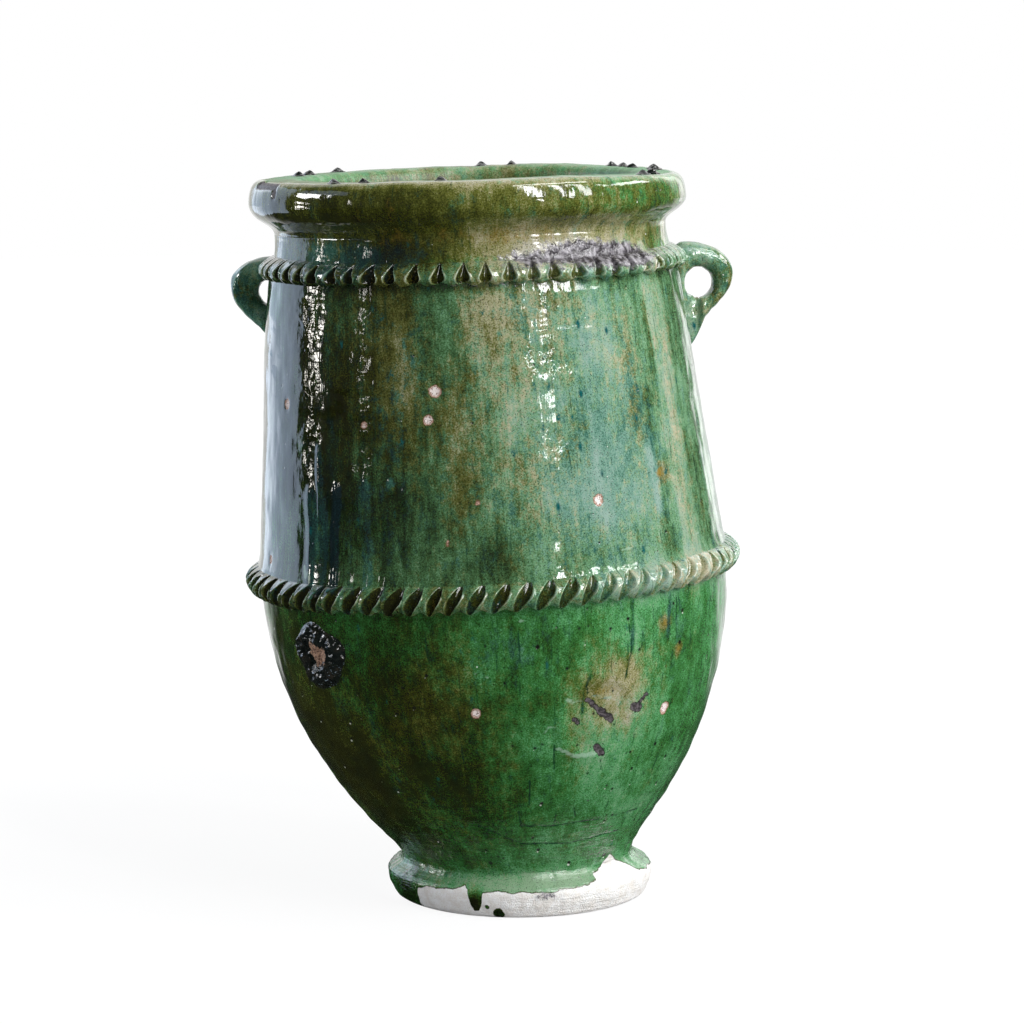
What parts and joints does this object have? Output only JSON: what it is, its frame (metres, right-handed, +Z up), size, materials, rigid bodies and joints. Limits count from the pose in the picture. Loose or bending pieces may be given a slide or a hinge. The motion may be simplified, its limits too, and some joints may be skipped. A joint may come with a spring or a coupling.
{
  "type": "storage jar",
  "caption": "Tall green-glazed earthenware storage jar with a flat foot, finger-pressed rope bands, a broad rolled rim and small loop handles at the neck.",
  "frame": {"origin": "centre of the flat foot, on the ground", "axes": "+Z up, +X towards the right-hand handle as pictured, +Y away from the viewer"},
  "size_m": [0.4216, 0.4086, 0.609],
  "materials": {
    "green_glaze": "glossy lead glaze, streaked green",
    "dark_glaze": "glossy glaze, dark bottle green",
    "olive_glaze": "glossy glaze, olive to brown",
    "bare_clay": "bare buff earthenware under glaze runs",
    "burnt_clay": "burnt kiln clay under spilt glaze"
  },
  "bodies": {
    "root": {"foot_ring": "bare_clay", "lower_bowl": "green_glaze", "belly_rope_band": "dark_glaze", "upper_wall": "green_glaze", "neck_rope_band": "dark_glaze", "neck_collar": "olive_glaze", "rim_lip": "olive_glaze", "handle_left": "dark_glaze", "handle_right": "green_glaze", "kiln_wad": "burnt_clay", "rim_spur_01": "burnt_clay", "rim_spur_02": "burnt_clay", "rim_spur_03": "burnt_clay", "rim_spur_04": "burnt_clay", "rim_spur_05": "burnt_clay", "rim_spur_06": "burnt_clay", "rim_spur_07": "burnt_clay", "rim_spur_08": "burnt_clay", "rim_spur_09": "burnt_clay", "rim_spur_10": "burnt_clay", "rim_spur_11": "burnt_clay", "rim_spur_12": "burnt_clay", "rim_spur_13": "burnt_clay", "rim_spur_14": "burnt_clay", "rim_spur_15": "burnt_clay"}
  },
  "joints": []
}
